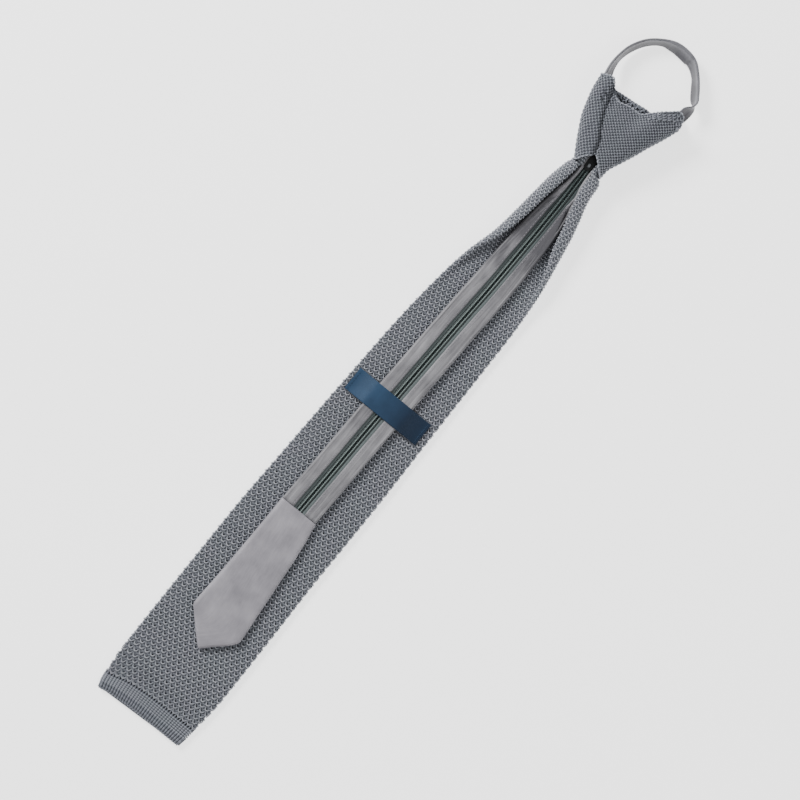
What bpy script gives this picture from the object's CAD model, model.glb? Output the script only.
import math

import bpy
import numpy as np
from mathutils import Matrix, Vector


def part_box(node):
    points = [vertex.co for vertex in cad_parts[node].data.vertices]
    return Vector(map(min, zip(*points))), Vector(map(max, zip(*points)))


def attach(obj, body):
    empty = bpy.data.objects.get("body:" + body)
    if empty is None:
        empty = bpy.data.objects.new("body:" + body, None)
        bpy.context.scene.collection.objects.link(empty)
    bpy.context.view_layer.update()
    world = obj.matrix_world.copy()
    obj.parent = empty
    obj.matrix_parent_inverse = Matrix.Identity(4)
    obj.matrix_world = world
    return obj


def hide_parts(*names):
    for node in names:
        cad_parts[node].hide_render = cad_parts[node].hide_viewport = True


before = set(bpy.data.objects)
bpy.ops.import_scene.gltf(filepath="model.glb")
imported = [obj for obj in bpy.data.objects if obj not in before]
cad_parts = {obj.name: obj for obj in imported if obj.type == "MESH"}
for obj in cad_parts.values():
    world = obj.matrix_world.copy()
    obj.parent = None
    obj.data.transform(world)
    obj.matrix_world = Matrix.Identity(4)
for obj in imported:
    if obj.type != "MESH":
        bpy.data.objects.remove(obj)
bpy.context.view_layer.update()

MM = 0.001

# The view: straight down on the tie from a long way off, with its length turned to run
# from the lower left to the upper right of a square picture.
view_span = 480.0 * MM
view_turn = math.radians(39.3)
view_centre = Vector((2.8, -12.4, 8.0)) * MM


def placed(name, data):
    """A new object in the scene."""
    made = bpy.data.objects.new(name, data)
    bpy.context.scene.collection.objects.link(made)
    return made


lens = bpy.data.cameras.new("view")
lens.lens = 120.0
lens.sensor_width = 36.0
lens.clip_start = 0.05
camera = placed("view", lens)
camera.location = view_centre + Vector((0, 0, view_span * lens.lens / lens.sensor_width))
camera.rotation_euler = (0, 0, view_turn)
bpy.context.scene.camera = camera


# The studio: a plain pale floor, a wide soft lamp above and to the upper left of the
# picture, and an even pale surround that fills the shadows.
class Wire:
    """A node's output, on which sums, products and comparisons add their own nodes."""

    def __init__(self, socket):
        self.socket = socket
        self.tree = socket.node.id_data

    def node(self, kind, settings, *values):
        return Bench(self.tree).node(kind, settings, dict(enumerate(values)))

    def sum_of(self, operation, first, second):
        if self.socket.type == "VECTOR" or getattr(second, "is_vector", False):
            return self.node("ShaderNodeVectorMath", {"operation": operation}, first, second)
        return self.node("ShaderNodeMath", {"operation": operation}, first, second)

    @property
    def is_vector(self):
        return self.socket.type == "VECTOR"

    def __add__(self, other):
        return self.sum_of("ADD", self, other)

    def __radd__(self, other):
        return self.sum_of("ADD", other, self)

    def __sub__(self, other):
        return self.sum_of("SUBTRACT", self, other)

    def __rsub__(self, other):
        return self.sum_of("SUBTRACT", other, self)

    def __mul__(self, other):
        if self.is_vector and not getattr(other, "is_vector", False):
            return self.node("ShaderNodeVectorMath", {"operation": "SCALE"}, self).fed({"Scale": other})
        return self.sum_of("MULTIPLY", self, other)

    def __truediv__(self, other):
        return self.sum_of("DIVIDE", self, other)

    def math(self, operation, *others):
        return self.node("ShaderNodeMath", {"operation": operation}, self, *others)

    def clipped(self):
        return self.node("ShaderNodeClamp", {}, self)

    def fed(self, values):
        Bench(self.tree).feed(self.socket.node, values)
        return self

    def out(self, key):
        return Wire(self.socket.node.outputs[key])


class Bench:
    """Puts nodes into one tree and joins them."""

    def __init__(self, tree):
        self.tree = tree

    def feed(self, node, values):
        for key, value in values.items():
            if isinstance(value, Wire):
                self.tree.links.new(value.socket, node.inputs[key])
            elif value is not None:
                node.inputs[key].default_value = value

    def node(self, kind, settings=None, values=None):
        made = self.tree.nodes.new(kind)
        for name, setting in (settings or {}).items():
            if name == "stops":
                ramp = made.color_ramp
                while len(ramp.elements) < len(setting):
                    ramp.elements.new(0.5)
                for stop, (place, colour) in zip(ramp.elements, setting):
                    stop.position = place
                    stop.color = colour
            else:
                setattr(made, name, setting)
        self.feed(made, values or {})
        live = [s for s in made.outputs if s.enabled]
        return Wire((live or made.outputs or [None])[0]) if made.outputs else made


def colour(red, green, blue):
    """A colour read off by eye on the usual 0 to 255 scale, as linear light."""
    line = [c / 255 for c in (red, green, blue)]
    line = [c / 12.92 if c <= 0.04045 else ((c + 0.055) / 1.055) ** 2.4 for c in line]
    return (*line, 1.0)


def finish(name, surface, *values):
    """A material whose Principled shader is fed by surface(bench, *values)."""
    material = bpy.data.materials.new(name)
    material.use_nodes = True
    material.node_tree.nodes.clear()
    bench = Bench(material.node_tree)
    shader = bench.node("ShaderNodeBsdfPrincipled", {}, surface(bench, *values))
    bench.node("ShaderNodeOutputMaterial", {}, {"Surface": shader})
    return material


def blend(bench, share, low, high, **settings):
    """A colour between two others."""
    settings = {"data_type": "RGBA", **settings}
    made = bench.node("ShaderNodeMix", settings, {0: share, 6: low, 7: high})
    return Wire(made.socket.node.outputs[2])


def add_mesh(name, points, faces, material=None):
    mesh = bpy.data.meshes.new(name)
    mesh.from_pydata([tuple(p) for p in points], [], faces)
    mesh.polygons.foreach_set("use_smooth", [True] * len(mesh.polygons))
    if material:
        mesh.materials.append(material)
    return placed(name, mesh)


def floor_surface(bench):
    return {
        "Base Color": colour(250, 250, 250),
        "Roughness": 0.9,
        "Emission Color": (1, 1, 1, 1),
        "Emission Strength": 1.7,
    }


floor_half = 3.0
floor_level = -0.0006
corners = [(-1, -1), (1, -1), (1, 1), (-1, 1)]
floor = add_mesh(
    "floor",
    [(x * floor_half, y * floor_half, floor_level) for x, y in corners],
    [(0, 1, 2, 3)],
    finish("pale_floor", floor_surface),
)


def add_lamp(name, place, size, power):
    lamp = bpy.data.lights.new(name, "AREA")
    lamp.shape = "DISK"
    lamp.size = size
    lamp.energy = power
    made = placed(name, lamp)
    made.location = place
    made.rotation_euler = (view_centre - made.location).to_track_quat("-Z", "Y").to_euler()


def in_picture(right, up, height):
    """A place above the tie, given along the picture's own right and up."""
    cos, sin = math.cos(view_turn), math.sin(view_turn)
    return Vector((right * cos - up * sin, right * sin + up * cos, height))


add_lamp("key_lamp", in_picture(-0.9, 1.2, 1.1), 0.7, 40)
add_lamp("fill_lamp", in_picture(1.0, -0.6, 1.5), 1.2, 9)
surround = bpy.data.worlds.new("surround")
surround.use_nodes = True
surround.node_tree.nodes["Background"].inputs["Color"].default_value = (1, 1, 1, 1)
surround.node_tree.nodes["Background"].inputs["Strength"].default_value = 0.45
bpy.context.scene.world = surround


# Blade: a tube of crunchy grey silk knit, pressed flat and closed at the hem. It is made on
# a flat-bed machine as tuck stitches, so its face is rows of raised loops over small holes.
# Below, lengths are millimetres on the tie's own lines: across from its middle line and
# along from the hem.
blade_length = 424.0
hem_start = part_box("blade")[0].y / MM
slider_middle = sum(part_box("zip_slider"), Vector()) / 2 / MM
throat_middle = -1.508
line_shift = Vector((slider_middle.x - throat_middle, hem_start, 0))


def profile(rows, column):
    """Reads one column of a table at any place in its first column, on a smooth curve."""
    at = np.array([row[0] for row in rows], float)
    value = np.array([row[column] for row in rows], float)
    last = len(rows) - 1
    slope = np.zeros(last + 1)
    for k in range(last + 1):
        before, after = max(k - 1, 0), min(k + 1, last)
        turns = (value[k] - value[before]) * (value[after] - value[k]) <= 0
        slope[k] = 0 if turns else (value[after] - value[before]) / (at[after] - at[before])

    def read(place):
        place = np.clip(place, at[0], at[-1])
        k = np.clip(np.searchsorted(at, place, side="right") - 1, 0, last - 1)
        span = at[k + 1] - at[k]
        t = (place - at[k]) / span
        s = 1 - t
        straight = value[k] * s * s * (1 + 2 * t) + value[k + 1] * t * t * (1 + 2 * s)
        return straight + span * (slope[k] * t * s * s - slope[k + 1] * s * t * t)

    return read


def smooth(value, low, high):
    t = np.clip((value - low) / (high - low), 0, 1)
    return t * t * (3 - 2 * t)


def run(points, axis=0):
    """The lengths passed along a row or rows of points, from 0."""
    steps = np.linalg.norm(np.diff(points, axis=axis), axis=-1)
    return np.insert(np.cumsum(steps, axis=axis), 0, 0, axis=axis)


def rows_normals(rows, closed):
    """Outward directions of a surface given as rows of points, rows by points by three."""
    along = np.gradient(rows, axis=0)
    if closed:
        around = (np.roll(rows, -1, axis=1) - np.roll(rows, 1, axis=1)) / 2
    else:
        around = np.gradient(rows, axis=1)
    normals = np.cross(around, along)
    return normals / np.maximum(np.linalg.norm(normals, axis=2, keepdims=True), 1e-9)


def loft(name, rows, material=None, closed=True, caps=True, across=None, along=None):
    """A skin over rows of points in millimetres, whose UV map is millimetres too, times MM.

    across and along give the map's own values, and default to lengths on the surface.
    """
    rows = np.asarray(rows, float)
    count, size = rows.shape[:2]
    if across is None:
        across = run(rows, 1)
        across -= across[:, size // 2:size // 2 + 1]
    if along is None:
        along = np.repeat(run(rows).mean(axis=1)[:, None], size, axis=1)
    if closed:
        last = np.maximum(np.linalg.norm(rows[:, -1] - rows[:, -2], axis=1), 1e-6)
        wrap = np.linalg.norm(rows[:, 0] - rows[:, -1], axis=1) / last
        wrap *= across[:, -1] - across[:, -2]
        across = np.concatenate([across, (across[:, -1] + wrap)[:, None]], axis=1)
        along = np.concatenate([along, along[:, :1]], axis=1)
    faces, corner_u, corner_v = [], [], []
    for r in range(count - 1):
        for c in range(size if closed else size - 1):
            n = (c + 1) % size
            faces.append((r * size + c, r * size + n, (r + 1) * size + n, (r + 1) * size + c))
            corner_u += [across[r, c], across[r, c + 1], across[r + 1, c + 1], across[r + 1, c]]
            corner_v += [along[r, c], along[r, c + 1], along[r + 1, c + 1], along[r + 1, c]]
    if closed and caps:
        for first, order in ((0, -1), ((count - 1) * size, 1)):
            half = size // 2
            ring = [first + k for k in range(size)]
            for k in range(half - 1):
                quad = (ring[k], ring[k + 1], ring[-k - 2], ring[-k - 1])
                if len(set(quad)) == 4:
                    faces.append(quad[::order])
                    corner_u += [0.0] * 4
                    corner_v += [0.0] * 4
    points = (rows.reshape(-1, 3) + np.array(line_shift)) * MM
    made = add_mesh(name, points, faces, material)
    layer = made.data.uv_layers.new(name="surface")
    flat = np.stack([np.array(corner_u) * MM + 0.5, np.array(corner_v) * MM + 0.1], axis=1)
    layer.data.foreach_set("uv", flat.astype(np.float32).ravel())
    outward = made.data.attributes.new("outward", "FLOAT_VECTOR", "POINT")
    outward.data.foreach_set("vector", rows_normals(rows, closed).astype(np.float32).ravel())
    return made


def open_sheet(name, rows, across, along):
    """A bare surface for yarn to follow, which is removed once the yarn is laid."""
    return loft(name, rows, None, False, False, across, along)


def object_place(bench):
    return bench.node("ShaderNodeTexCoord").out("Object")


def uv_place(bench):
    return bench.node("ShaderNodeUVMap", {"uv_map": "surface"})


def split(bench, vector):
    return bench.node("ShaderNodeSeparateXYZ", {}, {0: vector})


def past(bench, along):
    """How far a place is beyond this many millimetres from the hem, in metres."""
    return split(bench, object_place(bench)).out(1) - (hem_start + along) * MM


def noise(bench, place, scale, detail=2.0, **more):
    values = {"Vector": place, "Scale": scale, "Detail": detail, **more}
    return bench.node("ShaderNodeTexNoise", {}, values)


def drawn_out(bench, across, along, detail=2.0, **more):
    """Noise that is stretched along the cloth's own map."""
    place = bench.node("ShaderNodeMapping", {}, {0: uv_place(bench), 3: (across, along, 1)})
    return noise(bench, place, 1.0, detail, **more)


def bumps(bench, height, strength, distance, **more):
    values = {"Strength": strength, "Distance": distance, "Height": height, **more}
    return bench.node("ShaderNodeBump", {}, values)


def field_tree(name, inputs, build):
    """A Geometry Nodes tree with named inputs, whose build(bench, inputs) gives the geometry."""
    tree = bpy.data.node_groups.new(name, "GeometryNodeTree")
    tree.interface.new_socket("Geometry", in_out="OUTPUT", socket_type="NodeSocketGeometry")
    for label, kind in inputs.items():
        tree.interface.new_socket(label, in_out="INPUT", socket_type=f"NodeSocket{kind}")
    bench = Bench(tree)
    group = tree.nodes.new("NodeGroupInput")
    wires = {label: Wire(group.outputs[label]) for label in inputs}
    bench.node("NodeGroupOutput", {}, {"Geometry": build(bench, wires)})
    return tree


yarn_lengths = (
    "First row", "Row pitch", "First stitch", "Stitch width", "Swing", "Lean", "Lift", "Relief",
    "Twist", "Unevenness", "Radius",
)
yarn_inputs = {"Form": "Object", "Yarn": "Material", "Row shift": "Float"}
yarn_inputs.update(dict.fromkeys(("Rows", "Stitches", "Points", "Sides"), "Int"))
yarn_inputs.update(dict.fromkeys(yarn_lengths, "Float"))


def yarn_rows(bench, wires):
    """Rows of yarn that wave from side to side and in and out as they cross a surface.

    Rows follow one another along the form's V, and each runs along its U. Every second row
    is moved sideways by Row shift stitches.
    """
    def vector(values):
        return bench.node("ShaderNodeCombineXYZ", {}, values)

    def geo(kind, values, **settings):
        return bench.node(f"GeometryNode{kind}", settings, values)

    def named(name, kind):
        return geo("InputNamedAttribute", {"Name": name}, data_type=kind)

    def marked(geometry, name, kind, value):
        values = {"Geometry": geometry, "Name": name, "Value": value}
        return geo("StoreNamedAttribute", values, data_type=kind, domain="POINT")

    start = vector({0: wires["First stitch"], 1: wires["First row"]})
    reach = vector({0: wires["Stitches"] * wires["Stitch width"]})
    line = geo("CurvePrimitiveLine", {0: start, 1: start + reach}, mode="POINTS")
    points = wires["Stitches"] * wires["Points"] + 1.0
    row = geo("ResampleCurve", {"Curve": line, "Count": points})
    step = vector({1: wires["Row pitch"]})
    ladder = geo("MeshLine", {"Count": wires["Rows"], "Offset": step})
    rows = geo("RealizeInstances", {0: geo("InstanceOnPoints", {"Points": ladder, "Instance": row})})

    place = geo("InputPosition", {})
    across = split(bench, place)
    along = across.out(1)
    number = ((along - wires["First row"]) / wires["Row pitch"]).math("ROUND")
    odd = number.math("FLOORED_MODULO", 2.0)
    turn = (across / wires["Stitch width"] - odd * wires["Row shift"]) * math.tau
    wave = turn.math("COSINE")
    spots = noise(bench, place, 520.0, 1.0).out("Color")
    stray = bench.node("FunctionNodeSeparateColor", {}, {0: spots})
    uneven = wires["Unevenness"]
    u = across + wires["Lean"] * turn.math("SINE") + uneven * (stray - 0.5)
    v = along - wires["Swing"] * wave + uneven * (stray.out(1) - 0.5)
    spot = vector({0: u + 0.5, 1: v + 0.1})

    form = geo("ObjectInfo", {0: wires["Form"]}, transform_space="RELATIVE").out("Geometry")
    sheet_map = named("surface", "FLOAT_VECTOR")

    def sampled(value):
        values = {"Mesh": form, "Value": value, "UV Map": sheet_map, "Sample UV": spot}
        return geo("SampleUVSurface", values, data_type="FLOAT_VECTOR")

    here = sampled(geo("InputPosition", {}))
    outward = sampled(named("outward", "FLOAT_VECTOR"))
    normal = bench.node("ShaderNodeVectorMath", {"operation": "NORMALIZE"}, {0: outward})
    height = wires["Lift"] + wires["Relief"] * wave + wires["Twist"] * turn.math("SINE")
    height = height + uneven * 0.6 * (stray.out(2) - 0.5)
    kept = marked(rows, "crest", "FLOAT", wave)
    kept = marked(kept, "on_form", "BOOLEAN", here.out("Is Valid"))
    laid = geo("SetPosition", {"Geometry": kept, "Position": here + normal * height})
    on_form = named("on_form", "BOOLEAN")
    off_form = bench.node("FunctionNodeBooleanMath", {"operation": "NOT"}, {0: on_form})
    trimmed = geo("DeleteGeometry", {"Geometry": laid, "Selection": off_form}, domain="POINT")
    size = {"Resolution": wires["Sides"], "Radius": wires["Radius"]}
    thread = geo("CurvePrimitiveCircle", size, mode="RADIUS")
    tubes = geo("CurveToMesh", {"Curve": trimmed, "Profile Curve": thread, "Fill Caps": True})
    solid = geo("RealizeInstances", {0: geo("SetShadeSmooth", {"Geometry": tubes})})
    return geo("SetMaterial", {"Geometry": solid, "Material": wires["Yarn"]})


yarn_tree = field_tree("yarn_rows", yarn_inputs, yarn_rows)


def baked(name, tree, values):
    """Runs a tree with these inputs and keeps its result as a plain mesh."""
    host = add_mesh(name + "_host", [], [])
    modifier = host.modifiers.new("tree", "NODES")
    modifier.node_group = tree
    for item in tree.interface.items_tree:
        if item.in_out == "INPUT" and item.name in values:
            modifier[item.identifier] = values[item.name]
    depsgraph = bpy.context.evaluated_depsgraph_get()
    mesh = bpy.data.meshes.new_from_object(host.evaluated_get(depsgraph), depsgraph=depsgraph)
    bpy.data.objects.remove(host)
    mesh.name = name
    return placed(name, mesh)


def joined(name, pieces):
    """One object from several, which share their materials."""
    with bpy.context.temp_override(
        active_object=pieces[0], selected_editable_objects=pieces, object=pieces[0]
    ):
        bpy.ops.object.join()
    pieces[0].name = name
    pieces[0].data.name = name
    return pieces[0]


# The blade's edges, and how far they roll up over the tail near the knot: the roll's turn
# in degrees on each side, the flat lip beyond it in millimetres, and the rise of the floor.
sleeve_thickness = 3.2
roll_radius = 3.7
blade_rows = [
    # along, left, right, turn_left, turn_right, lip_left, lip_right, rise
    (0, -32.2, 28.6, 0, 0, 1.5, 1.5, 0),
    (5, -33.6, 29.3, 0, 0, 1.5, 1.5, 0),
    (12, -34.6, 29.9, 0, 0, 1.8, 1.8, 0),
    (24, -36.0, 31.3, 0, 0, 1.8, 1.8, 0),
    (36, -36.3, 32.0, 0, 0, 1.8, 1.8, 0),
    (84, -36.8, 31.4, 0, 0, 1.8, 1.8, 0),
    (132, -37.1, 30.4, 0, 0, 1.8, 1.8, 0),
    (180, -36.0, 30.4, 0, 0, 1.8, 1.8, 0),
    (228, -34.7, 29.4, 0, 0, 1.8, 1.8, 0),
    (276, -33.1, 28.5, 0, 0, 1.8, 1.8, 0),
    (300, -31.6, 28.1, 6, 4, 1.8, 1.8, 0),
    (324, -29.2, 27.4, 28, 20, 1.6, 1.8, 0),
    (336, -27.3, 26.4, 62, 45, 1.4, 1.6, 0),
    (348, -24.6, 25.0, 105, 84, 0.9, 1.4, 0),
    (360, -21.4, 23.2, 142, 125, 0.5, 1.2, 0.1),
    (372, -19.7, 21.0, 166, 160, 0.5, 1.6, 0.42),
    (384, -18.5, 18.8, 178, 180, 0.6, 1.2, 1.05),
    (396, -17.4, 15.8, 180, 180, 0.7, 1.6, 1.9),
    (408, -16.1, 12.4, 180, 180, 1.3, 1.2, 2.8),
    (416, -14.5, 11.4, 180, 180, 0.9, 1.4, 3.3),
    (420.5, -13.4, 11.0, 176, 178, 0.6, 1.5, 3.42),
    (424, -12.0, 9.4, 138, 142, 0.2, 0.4, 3.5),
]
edge_left, edge_right, turn_left, turn_right, lip_left, lip_right, rise = (
    profile(blade_rows, column) for column in range(1, 8)
)
throat_half = 8.2
blade_tuck = 12.0


def strip_ring(line, half, tips=3):
    """A closed outline round a line of cloth in a plane, and the line's point behind each."""
    heading = np.gradient(line, axis=0)
    heading /= np.linalg.norm(heading, axis=1, keepdims=True)
    side = np.stack([-heading[:, 1], heading[:, 0]], axis=1)
    half = np.broadcast_to(half, (len(line),))[:, None]
    fan = np.radians(np.linspace(90, -90, tips + 2)[1:-1])[:, None]
    right = line[-1] + half[-1] * (np.cos(fan) * heading[-1] + np.sin(fan) * side[-1])
    left = line[0] - half[0] * (np.cos(fan) * heading[0] + np.sin(fan) * side[0])
    ring = np.concatenate([line + side * half, right, (line - side * half)[::-1], left])
    behind = [*range(len(line)), *[len(line) - 1] * tips, *range(len(line) - 1, -1, -1), *[0] * tips]
    return ring, behind


def rolled_edge(turn, lip, radius, steps=12):
    """Middle line of one rolled edge, outward and upward from where the flat part ends."""
    length = max(turn * radius, 0.8 * radius)
    share = np.linspace(0, 1, steps + 1)
    angle = share * turn
    if turn > 0.001:
        bend = length / turn
        out, up = bend * np.sin(angle), bend * (1 - np.cos(angle))
    else:
        out, up = share * length, share * 0
    more = np.array([0.35, 0.7, 1.0]) * lip
    out = np.concatenate([out, out[-1] + more * math.cos(turn)])
    up = np.concatenate([up, up[-1] + more * math.sin(turn)])
    return out, up, np.concatenate([angle, [turn] * 3])


def blade_ring(y, inset):
    """The tube's outline at one place along it, this far inside its true face."""
    half = sleeve_thickness / 2
    at = min(y, blade_length)
    neck = smooth(y, blade_length - 1.4, blade_length - 0.3)
    left = edge_left(at) * (1 - neck) + (throat_middle - throat_half) * neck
    right = edge_right(at) * (1 - neck) + (throat_middle + throat_half) * neck
    level = rise(at) + half
    sides = []
    for edge, turn, lip in ((left, turn_left, lip_left), (right, turn_right, lip_right)):
        angle = math.radians(float(turn(at)))
        out, up, lean = rolled_edge(angle, float(lip(at)), roll_radius)
        tip = half if math.cos(angle) > 0 else half * math.sin(angle)
        stand = max(out[-1] + tip, (out + half * np.sin(lean)).max())
        sides.append((abs(edge) - stand, out, up))
    flat_left, flat_right = -sides[0][0] if left < 0 else sides[0][0], sides[1][0]
    left_line = np.stack([flat_left - sides[0][1], level + sides[0][2]], axis=1)[::-1]
    right_line = np.stack([flat_right + sides[1][1], level + sides[1][2]], axis=1)
    between = np.linspace(flat_left, flat_right, 26)[1:-1]
    middle = np.stack([between, np.full(24, level)], axis=1)
    line = np.concatenate([left_line, middle, right_line])
    ring, _ = strip_ring(line, half - inset, 5)
    turned = 2 * len(line) + 5 - len(line) // 2
    return np.roll(ring, len(ring) - turned, axis=0), len(ring) - turned + len(line) // 2


hem_drop = profile([(-34, -2.6), (-30, -2.2), (-24, -1.0), (-10, 0), (28, 0.4), (34, 0.6)], 1)
hole_level = 13.0
hole_row = profile(
    [(-33, 9.6), (-29, 9.9), (-25, 10.4), (-21, 11.3), (-10, 12.4), (0, 13), (40, 13.2)], 1
)
stitch_width = 3.8
row_pitch = 2.75
mesh_start = 14.6
mesh_push = 0.26
half_around = 20
tube_stitches = 35
shut_length = 2.4


def gathered(y):
    """Extra rows of stitches per length where the knit is squeezed together near the knot."""
    return 0.4 * (np.clip(y - 320, 0, 50) ** 2 / 100 + max(y - 370, 0))


def blade_form(inset, step):
    """Rows of points on the tube and their places on its knit, across and along.

    Every second row of stitches pushes the flat tube's sides out a little.
    """
    ys = np.concatenate([[0.0, 0.4, 1.0, 2.0], np.arange(3.0, blade_length + blade_tuck, step)])
    rows, across, along = [], [], []
    for y in ys:
        ring, middle = blade_ring(y, inset)
        pinch = 1 - 0.55 * (1 - min(y / shut_length, 1)) ** 2
        level = sleeve_thickness / 2
        height = level + (ring[:, 1] - level) * (pinch if y < shut_length else 1)
        drop = hem_drop(ring[:, 0]) * (1 - smooth(y, 0, 30))
        push = mesh_push * math.cos((y - mesh_start) * math.pi / row_pitch)
        push *= smooth(y, 12, 18) * (1 - smooth(y, 300, 330))
        side = np.sign(ring[:, 0]) * smooth(np.abs(ring[:, 0]), 22, 30)
        rows.append(np.stack([ring[:, 0] + side * push, y + drop, height], axis=1))
        length = run(ring)
        place = length - length[middle]
        around = length[-1] + np.linalg.norm(ring[0] - ring[-1])
        half_way = tube_stitches / 2 * stitch_width * (1 + 0.12 * smooth(y, 320, 400)) * 1.0005
        across.append(half_way * place / np.where(place < 0, length[middle], around - length[middle]))
        slant = (hole_level - hole_row(ring[:, 0])) * smooth(y, 0, 11) * (1 - smooth(y, 13, 48))
        along.append(y + gathered(y) + slant)
    return np.array(rows), np.array(across), np.array(along)


def knit_surface(bench, low, high, crested):
    """Dull silk yarn: darker where it dips, with faint green and lilac tints by patches."""
    place = object_place(bench)
    crest = bench.node("ShaderNodeAttribute", {"attribute_name": "crest"}).out("Fac")
    fibre = noise(bench, place, 2600.0)
    tint = ((noise(bench, place, 95.0, 3.0) - 0.5) * 2.4 + 0.5).clipped()
    cool = blend(bench, tint, colour(118, 130, 136), colour(134, 130, 146))
    raised = (crest * 0.5 + 0.5).clipped() if crested else crest.math("ABSOLUTE")
    if crested:
        worked = (past(bench, 14) * 55.0).clipped()
        raised = 0.45 + (raised - 0.45) * (worked * 0.45 + 0.55)
    shade = blend(bench, (raised * 0.75 + (fibre - 0.5) * 0.9).clipped(), low, high)
    return {
        "Base Color": blend(bench, 0.55, shade, cool, blend_type="SOFT_LIGHT"),
        "Roughness": fibre * 0.2 + 0.5,
        "Sheen Weight": 0.25,
        "Normal": bumps(bench, fibre, 0.5, 0.0002),
    }


def ground_surface(bench):
    """The yarn behind the loops, with an open dark hole above the foot of each loop."""
    grain = noise(bench, object_place(bench), 1400.0)
    spot = split(bench, uv_place(bench))
    turn = (spot - 0.5) * (math.tau / (stitch_width * MM))
    rise = (spot.out(1) - (0.1 + (mesh_start - 0.55) * MM)) * (math.pi / (row_pitch * MM))
    meshed = ((spot.out(1) - (0.1 + (mesh_start - 0.6) * MM)) * 2000.0).clipped()
    hole = ((turn.math("COSINE") * rise.math("COSINE") - 0.35) * 4.0).clipped() * meshed
    off_row = ((spot.out(1) - (0.1 + hole_level * MM)) / (0.75 * MM)).math("ABSOLUTE")
    pierced = ((1.0 - off_row) * 4.0).clipped()
    shade = blend(bench, grain, colour(82, 85, 92), colour(116, 120, 128))
    return {
        "Base Color": blend(bench, (hole + pierced).clipped(), shade, colour(26, 28, 33)),
        "Roughness": 0.85,
        "Normal": bumps(bench, grain, 0.6, 0.0003),
    }


def yarn_finish(name, low, high, crested=True):
    return finish(name, knit_surface, colour(*low), colour(*high), crested)


knit_yarn = yarn_finish("knit_yarn", (84, 87, 94), (208, 210, 215))
knit_under = yarn_finish("knit_under", (104, 107, 114), (150, 153, 160))
knit_ground = finish("knit_ground", ground_surface)

yarn_depth = 0.5
rows, across, along = blade_form(yarn_depth, row_pitch / 2)
blade_path = loft("blade_path", rows, None, True, False, across, along)
rows, across, along = blade_form(yarn_depth + 0.35, 5.0)
blade_ground = loft("blade_ground", rows, knit_ground, True, True, across, along)


def knit_band(name, first_row, count, form, **changes):
    """Rows of yarn on a form. Lengths are given in millimetres, under the tree's own names."""
    sizes = {
        "form": form, "yarn": knit_yarn, "first_row": first_row, "rows": count,
        "row_pitch": row_pitch, "row_shift": 0.5, "first_stitch": -half_around * stitch_width,
        "stitches": 2 * half_around, "stitch_width": stitch_width, "points": 8, "swing": 1.15,
        "lean": 0.34, "lift": 0.05, "relief": 0.42, "twist": 0.0, "unevenness": 0.4,
        "radius": 0.44, "sides": 4, **changes,
    }
    values = {key.replace("_", " ").capitalize(): value for key, value in sizes.items()}
    for label in yarn_lengths:
        values[label] = values[label] * MM
    return baked(name, yarn_tree, values)


band_rows = 34
knit_pieces = []
for number in range(5):
    start = mesh_start + number * band_rows * row_pitch
    loops = knit_band(f"loops_{number}", start, band_rows, blade_path)
    backs = knit_band(
        f"backs_{number}", start + 1.4, band_rows, blade_path, yarn=knit_under, swing=0.35,
        lean=0.0, relief=0.0, lift=-0.15, radius=0.45, points=4,
    )
    knit_pieces.append(joined(f"blade_knit_{number + 1}", [loops, backs]))

# The hem is knitted closer: upright ribs at its end, then rows of small ridges, then a short
# row of ribs over open holes before the mesh starts.
hem_yarn = yarn_finish("hem_yarn", (100, 103, 110), (150, 153, 160), False)
ridge_yarn = yarn_finish("ridge_yarn", (84, 87, 94), (186, 189, 196))
rib_pitch = 1.9
rib_count = 70
half_hem = rib_count / 2 * rib_pitch
hem_last = 14
hem_offset = 80.0
rows, across, along = blade_form(yarn_depth, 1.5)
rows, along = (np.concatenate([table, table[:, :1]], axis=1)[:hem_last] for table in (rows, along))
across = np.concatenate([across, -across[:, :1]], axis=1)[:hem_last]
hem_path = open_sheet("hem_path", rows, along, across + hem_offset)
hem_parts = []
for first, length, radius, lift in ((0.1, 5.2, 0.72, -0.1), (11.6, 2.9, 0.45, 0.1)):
    hem_parts.append(knit_band(
        "hem_ribs", hem_offset - half_hem, rib_count, hem_path, yarn=hem_yarn, row_pitch=rib_pitch,
        row_shift=0.0, first_stitch=first, stitches=1, stitch_width=length, lift=lift, swing=0.0,
        lean=0.0, relief=0.0, radius=radius, points=6, sides=6, unevenness=0.1,
    ))
bpy.data.objects.remove(hem_path)
hem_parts.append(knit_band(
    "hem_ridges", 5.6, 5, blade_path, yarn=ridge_yarn, row_pitch=1.42, row_shift=0.0,
    first_stitch=-half_hem, stitches=rib_count, stitch_width=rib_pitch, swing=0.0, lean=0.0,
    lift=-0.15, radius=0.6, points=6, sides=6, unevenness=0.15,
))
end_points, end_half = 60, 1.2
xs = np.linspace(edge_left(0) + 1.0, edge_right(0) - 1.0, end_points)
level = sleeve_thickness / 2
rows = [
    np.stack([xs, hem_drop(xs) - 0.1, np.full(end_points, level + up)], axis=1)
    for up in (-end_half, 0, end_half)
]
across = np.repeat((xs + 40.0)[None, :], 3, axis=0)
upward = np.repeat([[0.0], [end_half], [2 * end_half]], end_points, axis=1)
end_path = open_sheet("end_path", rows, across, upward)
hem_parts.append(knit_band(
    "hem_end", end_half, 1, end_path, yarn=hem_yarn, first_stitch=6.0, stitches=36,
    stitch_width=rib_pitch, swing=0.75, lean=0.0, relief=0.0, radius=0.55, sides=6, unevenness=0.2,
))
bpy.data.objects.remove(end_path)
hem_knit = joined("hem_knit", hem_parts)

for piece in [blade_ground, *knit_pieces, hem_knit]:
    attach(piece, "root")
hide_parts("blade")
bpy.data.objects.remove(blade_path)


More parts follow.
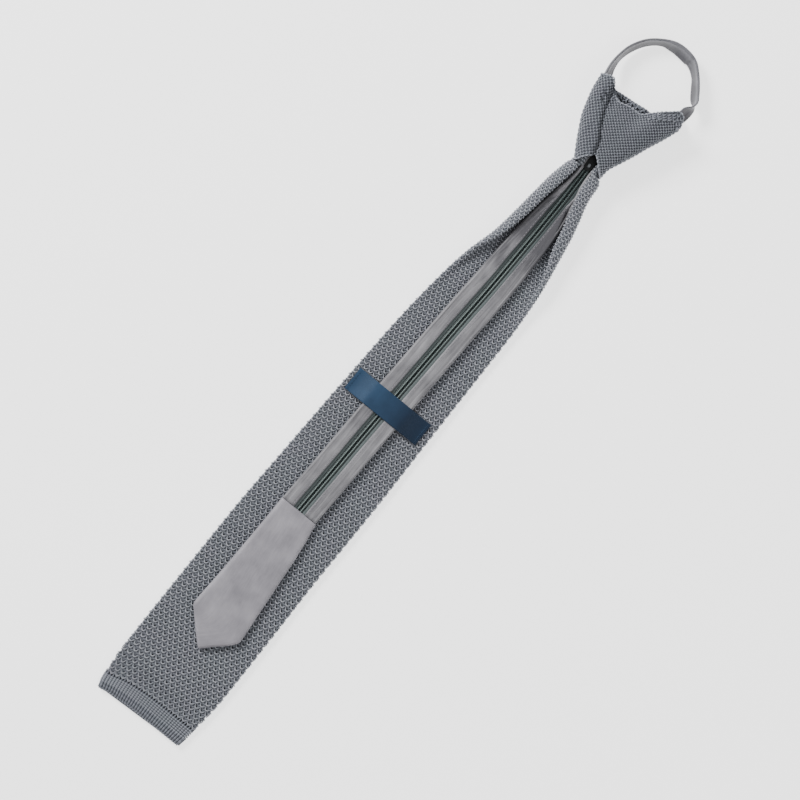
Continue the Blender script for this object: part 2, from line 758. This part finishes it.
# Tail facings: two strips of grey satin, each folded over the edge of one zip tape, with a
# row of fine machine stitches near the fold beside the chain.
zip_rows = [
    # along, zip middle, facing's outer edge from it, facing's inner edge from it
    (140, -5.2, 12.8, 4.15), (156, -5.1, 12.8, 4.15), (188, -4.5, 12.8, 4.15), (220, -4.0, 12.8, 4.15),
    (244, -3.4, 12.8, 4.15), (280, -2.5, 12.7, 4.15), (301, -2.0, 12.7, 4.15), (333, -0.9, 12.6, 4.1),
    (360, -0.5, 12.0, 4.0), (384, -0.27, 10.7, 3.8), (400, -0.27, 8.5, 3.5), (412, -0.6, 5.6, 3.0),
    (424, -1.0, 4.8, 2.8), (436, -1.5, 4.8, 2.8),
]
zip_across, facing_outer, facing_inner = (profile(zip_rows, k) for k in range(1, 4))
facing_height = 3.6
satin_wall = 1.0
seam_along = 156.0
piece_gap = 0.3


def between(low, high, share):
    return low + (high - low) * share


def level_ring(x, y, z):
    """A ring of points at one place along the tie."""
    return np.stack([x, np.full(len(x), y), z], axis=1)


def facing_edge(y, side):
    """Where a facing's inner fold is; the right one is drawn aside under the blade's flap."""
    return facing_inner(y) + (1.5 * smooth(y, 397, 411) if side > 0 else 0)


def facing_base(y):
    return rise(np.minimum(y, blade_length)) + sleeve_thickness + piece_gap


def ripple(x, y, seed):
    """Slow uneven waves, as cloth has that was sewn and then lay in a drawer, from -1 to 1."""
    rng = np.random.default_rng(seed)
    total = 0
    for _ in range(5):
        reach_x, reach_y = rng.uniform(0.05, 0.35), rng.uniform(0.04, 0.22)
        start = rng.uniform(0, math.tau)
        total = total + np.sin(reach_x * x + reach_y * y + start)
    return total / 5


def facing_ring(y, side):
    inner, outer = float(facing_edge(y, side)), float(facing_outer(y))
    inner = min(inner, outer - 1.0)
    level = float(facing_base(y)) + facing_height / 2
    radius = (facing_height - satin_wall) / 2
    bend = outer - facing_height / 2
    start = min(inner + satin_wall / 2, bend - 0.1)
    flat = np.linspace(start, bend, 12)
    arc = np.radians(np.linspace(-90, 90, 13))[1:-1]
    wave = 0.3 * ripple(flat * side, y, 3) + 0.22 * ripple(flat * side * 4, y * 1.5, 4)
    if side < 0:
        wave = wave + 2.2 * smooth(y, 396, 412) * smooth(flat, bend - 2.2, bend - 0.2)
    else:
        crease = 5.2 + (400 - y) * 0.27 - float(zip_across(y))
        fold = smooth(y, 378, 386) * (1 - smooth(y, 402, 408))
        wave = wave - 1.5 * np.exp(-((flat - crease) / 0.75) ** 2) * fold
    upper = radius + wave * smooth(flat, start, start + 3) - 0.25 * smooth(flat, bend - 4, bend)
    line = np.concatenate([
        np.stack([flat, np.full(12, -radius)], axis=1),
        np.stack([bend + radius * np.cos(arc), radius * np.sin(arc)], axis=1),
        np.stack([flat, upper], axis=1)[::-1],
    ])
    ring, _ = strip_ring(line[::-1], satin_wall / 2)
    if side < 0:
        ring = ring[::-1]
    return level_ring(float(zip_across(y)) + side * ring[:, 0], y, level + ring[:, 1])


def satin_cloth(bench, low, high, creases=0.3, bias=None):
    """Polyester satin: fine lengthwise lines, soft creases and slight blotches."""
    patch = noise(bench, object_place(bench), 60.0, 4.0)
    lines = drawn_out(bench, 2600, 160)
    folds = drawn_out(bench, 260, 16, Distortion=0.6)
    crease = 1.0 - ((folds - 0.5) * 7.0).math("ABSOLUTE").clipped()
    shade = (patch - 0.5) * 1.3 + lines * 0.45 - crease * creases + 0.48
    if bias:
        shade = shade + bias(bench)
    weave = bumps(bench, lines, 0.35, 0.00015)
    return {
        "Base Color": blend(bench, shade.clipped(), low, high),
        "Roughness": lines * 0.15 + 0.42,
        "Sheen Weight": 0.15,
        "Normal": bumps(bench, folds - crease * 0.12, 0.5, 0.0012 * creases / 0.3, Normal=weave),
    }


def toward_knot(bench):
    """The facings are creased and dull where they are gathered into the knot."""
    beyond = past(bench, 330)
    return (beyond * 18.0).clipped() * -0.8 + ((beyond - 65 * MM) * 90.0).clipped() * 1.15


satin = finish("satin", satin_cloth, colour(98, 96, 103), colour(164, 161, 168), 0.06)
facing_satin = finish(
    "facing_satin", satin_cloth, colour(78, 77, 82), colour(150, 149, 153), 0.3, toward_knot
)
facing_tops = {"left": 432.0, "right": 428.0}
for word, side in (("left", -1), ("right", 1)):
    ys = np.linspace(seam_along + piece_gap, facing_tops[word], 150)
    piece = loft(f"facing_{word}", [facing_ring(y, side) for y in ys], facing_satin)
    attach(piece, "root")
    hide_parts(f"tail_facing_{word}")


# Zip: two woven tapes, each with a wound nylon coil along its edge that meets the other, and
# a row of paler thread that sews the coil to its tape.
chain_pitch = 1.2
chain_start = 148.0
chain_top = 430.6


def flat_strip(name, side, near, far, half, material):
    """A thin strip on one side of the zip's middle line, from near it to far(y) from it."""
    rows = []
    for y in np.linspace(chain_start, chain_top, 90):
        low, high = sorted((side * near, side * far(y)))
        line = np.linspace(low + half, high - half, 6)
        ring, _ = strip_ring(np.stack([line, np.zeros(6)], axis=1), half)
        rows.append(level_ring(float(zip_across(y)) + ring[:, 0], y, float(mid_level(y)) + ring[:, 1]))
    return loft(name, rows, material)


def zip_dulled(bench):
    """From 0 to -0.6 over the last part of the zip, which is worn and grey near the slider."""
    return (past(bench, 340) * 16.0).clipped() * -0.6


def tape_surface(bench):
    """Grey-green woven tape, with fine ribs across it, duller near the knot."""
    ribs = drawn_out(bench, 900, 2200, 1.0)
    shade = (ribs + zip_dulled(bench)).clipped()
    return {
        "Base Color": blend(bench, shade, colour(58, 67, 68), colour(112, 122, 122)),
        "Roughness": 0.75,
        "Normal": bumps(bench, ribs, 0.4, 0.0002),
    }


def speckled(bench, scale, low, high, roughness, metallic=0.0):
    """A hard surface with a fine uneven tone."""
    grain = noise(bench, object_place(bench), scale)
    return {
        "Base Color": blend(bench, grain, low, high),
        "Roughness": grain * 0.2 + roughness,
        "Metallic": metallic,
    }


def thread_surface(bench):
    twist = noise(bench, object_place(bench), 1500.0)
    shade = (twist * 0.6 + 0.42 + zip_dulled(bench)).clipped()
    return {
        "Base Color": blend(bench, shade, colour(74, 88, 86), colour(158, 173, 169)),
        "Roughness": twist * 0.2 + 0.5,
    }


tape_cloth = finish("tape_cloth", tape_surface)
coil_nylon = finish("coil_nylon", speckled, 700.0, colour(30, 38, 39), colour(72, 83, 83), 0.3)
pale_thread = finish("pale_thread", thread_surface)
path_offset = 20.0


def along_path(name, low, high, middle, level, half=4.0):
    """A ribbon surface whose U runs along the tie, for yarn that follows its length."""
    ys = np.linspace(low, high, 120)
    offsets = np.linspace(-half, half, 5)
    rows = [level_ring(float(middle(y)) + offsets, y, np.full(5, float(level(y)))) for y in ys]
    across = np.repeat(ys[:, None], 5, axis=1)
    along = np.repeat((offsets + path_offset)[None, :], len(ys), axis=0)
    return open_sheet(name, rows, across, along)


def line_of(name, form, offset, low, high, pitch, material, **sizes):
    """One row of yarn that runs along the tie at an offset from the form's middle."""
    sizes = {"lean": 0.0, "lift": 0.0, "relief": 0.0, **sizes}
    return knit_band(
        name, offset + path_offset, 1, form, yarn=material, first_stitch=low, stitch_width=pitch,
        stitches=int((high - low) / pitch), **sizes,
    )


def mid_level(y):
    return facing_base(y) + facing_height / 2


zip_path = along_path("zip_path", chain_start - 2, chain_top + 2, zip_across, mid_level)
tapes = {}
for word, side in (("left", -1), ("right", 1)):
    def beside(y):
        return max(float(facing_outer(y)) - 3.2, float(facing_edge(y, side)) + 0.8)

    tape = flat_strip(f"tape_{word}", side, 2.4, beside, 0.45, tape_cloth)
    coil = line_of(
        f"coil_{word}", zip_path, side * 1.05, chain_start, chain_top, chain_pitch, coil_nylon,
        swing=0.9, twist=0.4 * side, radius=0.31, unevenness=0.12,
    )
    core = flat_strip(f"core_{word}", side, 0.6, lambda y: 2.2, 0.35, coil_nylon)
    seam_row = line_of(
        f"coil_stitches_{word}", zip_path, side * 1.1, chain_start, chain_top, chain_pitch,
        pale_thread, swing=0.1, lift=0.84, relief=0.3, radius=0.27, points=6, unevenness=0.1,
    )
    tapes[word] = [tape, joined(f"chain_{word}", [coil, core]), seam_row]
    for piece, slot in zip(tapes[word], ("zip_tape", "zip_coil", "zip_tape")):
        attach(piece, "root")
    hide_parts(f"zip_tape_{word}")
    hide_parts(f"zip_coil_{word}")
bpy.data.objects.remove(zip_path)

for word, side in (("left", -1), ("right", 1)):
    stitch_path = along_path(
        f"facing_path_{word}", seam_along, facing_tops[word] - 4,
        lambda y: zip_across(y) + side * (facing_edge(y, side) + 1.0),
        lambda y: facing_base(y) + facing_height,
    )
    piece = line_of(
        f"facing_stitches_{word}", stitch_path, 0.0, seam_along + 2, facing_tops[word] - 6, 2.2,
        satin, swing=0.0, lift=-0.1, relief=0.22, radius=0.17, points=6,
    )
    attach(piece, "root")
    bpy.data.objects.remove(stitch_path)


# Slider: enamelled black metal, pushed up to the top of the chain, with a worn crown. It is
# the CAD's own solid with its edges rounded.
enamel = finish("slider_enamel", speckled, 900.0, colour(18, 19, 21), colour(34, 36, 39), 0.22, 0.4)
worn_metal = finish("worn_metal", speckled, 1100.0, colour(84, 88, 92), colour(150, 154, 158), 0.3, 0.7)
slider_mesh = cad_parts["zip_slider"].data.copy()
slider_mesh.materials.clear()
slider_mesh.materials.append(enamel)
slider_mesh.materials.append(worn_metal)
crown_level = max(v.co.z for v in slider_mesh.vertices) - 1.0 * MM
for face in slider_mesh.polygons:
    face.material_index = 1 if face.center.z > crown_level + 0.1 * MM else 0
slider_body = placed("slider_body", slider_mesh)
weld = slider_body.modifiers.new("weld", "WELD")
weld.merge_threshold = 0.01 * MM
bevel = slider_body.modifiers.new("bevel", "BEVEL")
bevel.width = 0.35 * MM
bevel.segments = 2
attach(slider_body, "root")
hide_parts("zip_slider")


# Tail end: a satin pocket with a pointed tip and light padding, sewn across the two facings.
tail_rows = [
    # along, left, right
    (54.0, -0.2, 1.2), (55.5, -1.9, 2.6), (60, -6.6, 7.0), (66, -12.6, 13.2),
    (70, -16.4, 16.6), (71.6, -18.2, 17.4), (74.5, -19.3, 17.5),
    (80, -19.2, 17.0), (95, -18.6, 15.5), (110, -18.3, 14.0), (130, -18.1, 12.0),
    (145, -18.0, 10.0), (156, -18.1, 8.4),
]
tail_left, tail_right = profile(tail_rows, 1), profile(tail_rows, 2)


def tail_ring(y):
    left, right = float(tail_left(y)), float(tail_right(y))
    half = (right - left) / 2
    across = np.sin(np.linspace(-1, 1, 47) * math.pi / 2)
    x = (left + right) / 2 + across * half
    edge = np.minimum(half * (1 - np.abs(across)), 3.0) / 3.0
    tip = 0.62 + 0.38 * smooth(y, 54, 62)
    body = facing_height / 2 * np.sqrt(np.clip(edge * (2 - edge), 0, 1)) * tip
    crown = 0.35 * (1 - across ** 2) * smooth(y, 56, 90) * (1 - smooth(y, 140, seam_along))
    wave = 0.22 * ripple(x, y, 8) * edge * smooth(y, 54, 70) * (1 - smooth(y, 146, seam_along))
    level = float(mid_level(y))
    z = np.concatenate([level + body + crown + wave, (level - body)[-2:0:-1]])
    return level_ring(np.concatenate([x, x[-2:0:-1]]), y, z)


ys = np.concatenate([np.linspace(54, 76, 34), np.linspace(77, seam_along, 60)])
tail_end = loft("tail_end_satin", [tail_ring(y) for y in ys], satin)
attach(tail_end, "root")
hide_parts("tail_end")


# Label: a short satin ribbon in dark blue, sewn to the blade at its two ends, so that it
# holds the tail. Its face is bare.
label_along = 238.3
label_length = 55.0
label_width = 15.5
label_middle = -3.5
ribbon_half = 0.3


def label_surface(bench):
    """Tight satin weave, whose sheen goes from pale blue at one end to near black at the other."""
    weave = drawn_out(bench, 700, 3200)
    patch = noise(bench, object_place(bench), 70.0, 3.0)
    shade = (weave * 0.5 + patch * 0.6 - 0.05).clipped()
    gleam = ((0.5 - split(bench, uv_place(bench)) - 0.016) * 50.0).clipped() * (patch * 0.8 + 0.2)
    navy = blend(bench, shade, colour(12, 25, 41), colour(28, 48, 72))
    return {
        "Base Color": blend(bench, gleam * 0.75, navy, colour(54, 86, 118)),
        "Roughness": weave * 0.2 + 0.5,
        "Specular IOR Level": 0.2,
        "Sheen Weight": 0.1,
        "Normal": bumps(bench, weave, 0.35, 0.00015),
    }


label_satin = finish("label_satin", label_surface)
label_low = sleeve_thickness + piece_gap + 0.35
label_high = float(facing_base(label_along)) + facing_height + piece_gap + 0.35
label_step = 12.8 + piece_gap
label_line = profile([
    (0, label_high), (8, label_high - 0.04),
    (label_step, between(label_low, label_high, 0.93)),
    (label_step + 4.5, between(label_low, label_high, 0.5)),
    (label_step + 9, between(label_low, label_high, 0.12)),
    (label_step + 12, label_low), (label_length / 2, label_low),
], 1)
rows = []
for share in np.linspace(0, 1, 26):
    y = label_along + (share - 0.5) * label_width
    across = np.linspace(-label_length / 2 + ribbon_half, label_length / 2 - ribbon_half, 90)
    wave = 0.12 * ripple(across, y * 2, 12) * smooth(label_length / 2 - np.abs(across), 0, 6)
    line = np.stack([label_middle + across, label_line(np.abs(across)) + wave], axis=1)
    ring, _ = strip_ring(line, ribbon_half)
    rows.append(level_ring(ring[:, 0], y, ring[:, 1]))
label_ribbon = loft("label_ribbon", rows, label_satin)
end_rows = []
label_start, label_end = label_along - label_width / 2, label_along + label_width / 2
for side in (-1, 1):
    end_path = along_path(
        "label_end_path", label_start, label_end,
        lambda y: label_middle + side * (label_length / 2 - 1.8), lambda y: label_low + ribbon_half,
    )
    end_rows.append(line_of(
        "label_stitches", end_path, 0.0, label_start + 0.8, label_end - 0.8, 1.9, label_satin,
        swing=0.0, relief=0.2, radius=0.17, points=6, unevenness=0.1,
    ))
    bpy.data.objects.remove(end_path)
label_stitches = joined("label_stitches", end_rows)
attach(label_stitches, "root")
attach(label_ribbon, "root")
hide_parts("label_band")


# Knot: the same knit wrapped once round, its free edge lapped on the back. It stands open at
# the top, where the strap goes in at both ears. The core inside it is left out.
knot_length = 60.0
knot_width = 58.0
knot_thickness = 22.0
knot_wall = 2.0
throat_width = 21.0
throat_thickness = 18.4
throat_lift = 0.8
lap_length = 8.0
mouth_pinch = 5.5
rim_roll = 10.0
squareness = 3.2
lap_gap = 0.3
side_push = 0.28
side_pitch = 2.6
knot_rows = [
    # at, spread, swell, sway, seam, lap, dip, pinch, roll
    (0.0, 0.0, 0, -0.026, 0.1, 0.2, 0.3, 0, 0),
    (0.067, 0.054, 0.12, -0.043, 0.1, 0.22, 0.5, 0, 0),
    (0.133, 0.135, 0.3, -0.06, 0.08, 0.26, 0.8, 0, 0),
    (0.267, 0.35, 0.62, -0.069, -0.04, 0.4, 1, 0, 0),
    (0.4, 0.55, 0.86, -0.075, -0.27, 0.6, 1, 0, 0),
    (0.55, 0.72, 0.97, -0.072, -0.43, 1, 1, 0.2, 0.06),
    (0.683, 0.865, 1, -0.06, -0.52, 1, 1, 0.8, 0.4),
    (0.817, 0.97, 1, -0.043, -0.58, 1, 1, 1, 1),
    (0.883, 1, 1, -0.034, -0.58, 1, 1, 1, 1),
    (1.0, 1, 1, -0.034, -0.58, 1, 1, 1, 1),
]
knot_rim = [
    # across, back, front
    (-1.0, 0.817, 0.817), (-0.78, 0.85, 0.858), (-0.62, 0.775, 0.783), (-0.5, 0.725, 0.787),
    (-0.33, 0.7, 0.795), (0.0, 0.735, 0.81), (0.22, 0.735, 0.825), (0.4, 0.82, 0.835),
    (0.5, 0.883, 0.887), (0.65, 0.942, 0.945), (0.8, 1.0, 1.0), (0.93, 0.972, 0.972),
    (1.0, 0.89, 0.89),
]
knot_hem = [
    # across, back, front
    (-1.0, 0.0, 0.0), (-0.5, 0.07, 0.0), (0.1, 0.15, 0.0), (0.6, 0.075, 0.01), (1.0, 0.017, 0.017),
]
spread, swell, knot_sway, seam, lap, dip, pinch, roll = (profile(knot_rows, k) for k in range(1, 9))
rims = {"back": profile(knot_rim, 1), "front": profile(knot_rim, 2)}
hems = {"back": profile(knot_hem, 1), "front": profile(knot_hem, 2)}


def knot_points(columns, height):
    """Middle-line points of the knot's sheet at one height between its lower and upper edge."""
    face = np.array([c[0] for c in columns])
    kind = np.array([c[1] for c in columns])
    share = np.array([c[2] for c in columns])
    is_back = face == "back"
    y = np.full(len(columns), blade_length + height * knot_length)
    for _ in range(8):
        at = np.clip((y - blade_length) / knot_length, 0, 1)
        half = between(throat_width, knot_width, spread(at)) / 2 - knot_wall / 2
        thick = between(throat_thickness, knot_thickness, swell(at))
        lift = between(throat_lift, 0, np.minimum(2 * swell(at), 1))
        middle = knot_width * knot_sway(at)
        low, high = lift + knot_wall / 2, lift + thick - knot_wall / 2
        left, right = middle - half, middle + half
        edge = middle + half * seam(at)
        hidden = edge + between(-knot_wall - 2 * lap_gap, lap_length, lap(at))
        x = np.select(
            [kind == "tuck", kind == "left", kind == "front", kind == "right"],
            [
                between(edge - 0.75 * knot_wall, hidden, share),
                between(left, edge - 1.9 * knot_wall, share),
                middle + share * half,
                between(right, edge, share),
            ],
        )
        across = np.clip((x - middle) / half, -1, 1)
        bottom = np.where(is_back, hems["back"](across), hems["front"](across))
        top = np.where(is_back, rims["back"](across), rims["front"](across))
        y = blade_length + knot_length * between(bottom, top, height)
    bow = (1 - np.abs(across) ** squareness) ** (1 / squareness)
    push = side_push * np.cos(y * math.tau / side_pitch)
    x = x + np.sign(across) * push * smooth(np.abs(across), 0.8, 1)
    centre, depth = (low + high) / 2, (high - low) / 2
    mouth = 1 - smooth(np.abs(across + 0.12), 0.32, 0.68)
    z_back = centre + depth * bow - mouth * mouth_pinch * pinch(at)
    z_front = centre - depth * bow + mouth * rim_roll * roll(at)
    z = np.where(is_back, z_back, z_front)
    z = z - np.where(kind == "tuck", (knot_wall + lap_gap) * dip(at), 0)
    # The cloth is gathered beside the top of the seam and sinks under it.
    beside = np.exp(-((x + 20.5) / 3.4) ** 2 - ((y - 463.5) / 5.5) ** 2) * (kind == "left")
    under = np.exp(-((x + 14) / 3.0) ** 2 - ((y - 462) / 5.0) ** 2) * (kind == "right")
    z = z + beside * (1.5 * np.sin((x * 0.55 + y) * 1.7) - 1.2) - 1.5 * under
    return np.stack([x, y, z], axis=1)


def eased(count):
    """Shares from 0 to 1, close together at 0."""
    return 1 - np.cos(np.linspace(0, math.pi / 2, count))


columns = [("back", "right", s) for s in eased(30)[::-1]]
columns += [("front", "front", s) for s in np.cos(np.linspace(0, math.pi, 42))[1:-1]]
columns += [("back", "left", s) for s in eased(16)]
columns += [("back", "tuck", s) for s in np.linspace(0, 1, 6)]
heights = np.linspace(0, 1, 105)
knot_middle = np.array([knot_points(columns, h) for h in heights])


def knot_rings(inset):
    rings = []
    for row in knot_middle:
        ring, behind = strip_ring(row[:, [0, 2]], knot_wall / 2 - inset)
        rings.append(np.stack([ring[:, 0], row[behind, 1], ring[:, 1]], axis=1))
    return np.array(rings)


# The panels' knits are measured square to the tie, from its middle line on each panel, so
# their meshes stay upright: first and last column, and the column and way they are held by.
knot_panels = {
    "right": (0, 35, 12, 1, 2.2, 1.25),
    "front": (34, 67, 50, -1, 2.4, 1.2),
    "left": (66, 92, 80, 1, 2.6, 1.3),
}
panel_spacing = 120.0


def panel_map(points, first, last, held, way):
    part = points[:, first:last]
    around = run(part[:, :, [0, 2]], 1)
    held -= first
    around += (way * part[:, held, 0] - around[:, held])[:, None]
    return part, part[:, :, 1] - blade_length, around


def backing_surface(bench, stitch, pitch):
    """The shaded inside of the knit between its meshes, darkest in the middle of each."""
    grain = noise(bench, object_place(bench), 1500.0)
    spot = split(bench, uv_place(bench))
    turn = (spot - 0.5) * (math.tau / (stitch * MM))
    rise = (spot.out(1) - 0.1) * (math.pi / (pitch * MM))
    hole = (turn.math("COSINE") * rise.math("SINE") * -1.0 - 0.35) * 3.0
    shade = blend(bench, grain, colour(54, 57, 63), colour(86, 89, 96))
    return {
        "Base Color": blend(bench, hole.clipped(), shade, colour(14, 16, 19)),
        "Roughness": 0.85,
        "Normal": bumps(bench, grain, 0.6, 0.0003),
    }


knot_yarn = yarn_finish("knot_yarn", (92, 95, 102), (186, 189, 196), False)
rim_yarn = yarn_finish("rim_yarn", (68, 71, 78), (170, 173, 180))
knot_ground = loft("knot_ground", knot_rings(0.92)[::2], knit_ground)
outer = knot_rings(0.5)[:, :len(columns)]
backing = knot_rings(0.7)[::2, :len(columns)]
knot_loops = []
for panel, (first, last, held, way, stitch, pitch) in knot_panels.items():
    part, upward, around = panel_map(outer, first, last, held, way)
    path = open_sheet("panel_path", part, upward, around + panel_spacing)
    begin = pitch * 2 * math.floor((around.min() + panel_spacing) / pitch / 2)
    knot_loops.append(knit_band(
        f"knot_{panel}", begin, int((around.max() - around.min()) / pitch) + 3, path,
        yarn=knot_yarn, first_stitch=-stitch, stitches=int(64 / stitch), stitch_width=stitch,
        row_pitch=pitch, swing=0.54 * pitch, lean=0.0, relief=0.0, radius=0.3, points=7,
        unevenness=0.35,
    ))
    bpy.data.objects.remove(path)
    part, upward, around = panel_map(backing, first, last, held, way)
    cloth = finish(f"knot_backing_{panel}", backing_surface, stitch, pitch)
    name = f"knot_inside_{panel}"
    knot_loops.append(loft(name, part, cloth, False, False, upward, around + panel_spacing))

# Along the right ear the stitches are bigger and stand up from the finer ones.
part = outer[72:, 13:28]
length = run(part[-1])
below = np.linalg.norm(part - part[-1:], axis=2)
across = np.repeat(length[None, :], len(part), axis=0)
wing_path = open_sheet("wing_path", part, across, 20.0 - below)
wing_stitch = 2.9
wing_loops = knit_band(
    "wing_loops", 14.6, 3, wing_path, yarn=rim_yarn, first_stitch=0.0,
    stitches=int(length[-1] / wing_stitch), stitch_width=wing_stitch, row_pitch=1.9, swing=0.85,
    lean=0.1, relief=0.2, lift=0.35, radius=0.45, points=9, sides=6,
)
bpy.data.objects.remove(wing_path)

# The mouth shows the knit's other face, and its edge is bound off in one thick row.
ends = 3
inner = knot_rings(0.5)[60:, len(columns) + ends:-ends]
around = run(inner, 1)
mouth_path = open_sheet("mouth_path", inner, run(inner), around)
mouth_pitch = 1.8
mouth_loops = knit_band(
    "mouth_loops", 0.4, int(around.max() / mouth_pitch), mouth_path, yarn=rim_yarn,
    first_stitch=0.0, stitches=8, stitch_width=3.1, row_pitch=mouth_pitch, swing=1.0, relief=0.6,
    radius=0.56, sides=5,
)
bpy.data.objects.remove(mouth_path)
edge_rows = []
edge_stitch, edge_width = 2.4, 1.6
for end in (0, -1):
    ring = knot_rings(0.2)[end]
    edge = np.stack([ring[:len(columns)], ring[len(columns) + ends:-ends][::-1]], axis=1)
    edge = edge if end == 0 else edge[::-1]
    length = run(edge.mean(axis=1))
    widths = np.repeat([[0.0, edge_width]], len(edge), axis=0)
    path = open_sheet("edge_path", edge, np.repeat(length[:, None], 2, axis=1), widths)
    edge_rows.append(knit_band(
        "edge_row", edge_width / 2, 1, path, yarn=knot_yarn, first_stitch=0.0,
        stitches=int(length[-1] / edge_stitch), stitch_width=edge_stitch, swing=0.7, lean=0.5,
        relief=0.55, lift=0.0, radius=0.5, sides=5,
    ))
    bpy.data.objects.remove(path)
knot_knit = joined("knot_knit", [*knot_loops, wing_loops, mouth_loops, *edge_rows])
for piece in (knot_ground, knot_knit):
    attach(piece, "root")
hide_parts("knot_wrap")


# Neck strap: a band of the same satin, folded double, standing on its edge from one ear of
# the knot round to the other.
strap_width = 9.5
strap_thickness = 1.8
strap_rows = [
    # outer edge x, y and inner edge x, y as seen from above, edge that is higher, rise, width
    (-27.6, 462.0, -24.2, 463.0, 1, 1.0, 0.72), (-28.7, 468.5, -24.0, 469.0, 1, 0.95, 0.76),
    (-29.8, 475.0, -24.5, 476.0, 1, 0.8, 0.85), (-30.8, 482.0, -26.3, 482.2, 1, 0.55, 0.95),
    (-30.4, 490.0, -26.9, 488.8, 1, 0.3, 1), (-28.4, 498.5, -24.9, 496.4, 1, 0.12, 1),
    (-23.4, 507.0, -20.6, 504.2, 1, 0, 1), (-16.5, 513.0, -14.4, 509.9, 1, 0, 1),
    (-8.0, 517.5, -7.2, 512.2, 1, 0, 1), (0.5, 518.4, 0.0, 512.0, 1, 0, 1), (8.5, 516.4, 6.6, 511.0, 1, 0, 1),
    (15.0, 511.0, 12.4, 507.4, 1, 0, 1), (20.0, 505.3, 16.4, 502.0, 1, 0.08, 1),
    (23.6, 500.2, 19.6, 497.4, 1, 0.2, 1), (25.4, 496.6, 22.4, 494.6, 1, 0.35, 0.98),
    (26.3, 493.3, 23.4, 492.8, -1, 0.5, 0.95), (26.9, 490.0, 20.6, 489.6, -1, 0.7, 0.94),
    (26.8, 486.6, 19.8, 486.6, -1, 0.85, 0.92), (26.3, 483.0, 19.5, 483.6, -1, 0.97, 0.88),
    (25.0, 478.5, 19.6, 479.6, -1, 1, 0.78), (24.0, 473.0, 19.2, 474.6, -1, 1, 0.72),
]


def through(values, count):
    """Places on a smooth curve through evenly numbered values (Catmull-Rom)."""
    values = np.asarray(values, float)
    padded = np.concatenate([2 * values[:1] - values[1:2], values, 2 * values[-1:] - values[-2:-1]])
    t = np.linspace(0, len(values) - 1, count)
    k = np.minimum(t.astype(int), len(values) - 2)
    f = (t - k)[:, None]
    a, b, c, d = (padded[k + n] for n in range(4))
    square, cube = 2 * a - 5 * b + 4 * c - d, 3 * b - a - 3 * c + d
    return 0.5 * (2 * b + (c - a) * f + square * f ** 2 + cube * f ** 3)


path = through(strap_rows, 190)
rows = []
for outer_x, outer_y, inner_x, inner_y, higher, rising, share in path:
    outward = np.array([outer_x - inner_x, outer_y - inner_y, 0])
    seen = np.linalg.norm(outward)
    outward /= seen
    band = strap_width * share
    tilt = math.asin(np.clip((seen - 1.6) / (band - strap_thickness), 0.05, 0.85)) * higher
    wide = np.array([0, 0, math.cos(tilt)]) + outward * math.sin(tilt)
    face = outward * math.cos(tilt) - np.array([0, 0, math.sin(tilt)])
    stand = (band * math.cos(tilt) + strap_thickness * abs(math.sin(tilt))) / 2 + piece_gap
    height = between(stand, knot_thickness / 2, np.clip(rising, 0, 1))
    centre = np.array([(outer_x + inner_x) / 2, (outer_y + inner_y) / 2, height])
    flat_half = band / 2 - strap_thickness / 2
    offset = np.linspace(-flat_half, flat_half, 12)
    half = strap_thickness / 2 * (1 - 0.35 * (1 - (2 * offset / band) ** 2))
    ring, _ = strip_ring(np.stack([offset, np.zeros(12)], axis=1), half)
    lapped = smooth(centre[0], -13, -8) * (1 - smooth(centre[0], 5.2, 5.9)) * (centre[1] > 500)
    ring[:, 1] = np.where(ring[:, 1] < -0.2, ring[:, 1] - 0.8 * lapped, ring[:, 1])
    rows.append(centre + ring[:, :1] * wide + ring[:, 1:] * face)


def strap_shade(bench):
    """The band is lighter along its upper edge than on its faces."""
    below = (split(bench, uv_place(bench)) - 0.5).math("ABSOLUTE") / MM
    return ((below - 1.2) * 0.5).clipped() * -0.55 + 0.1


strap_cloth = finish(
    "strap_cloth", satin_cloth, colour(62, 61, 67), colour(122, 122, 128), 0.15, strap_shade
)
neck_strap = loft("strap_satin", rows, strap_cloth)
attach(neck_strap, "root")
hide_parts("neck_strap")
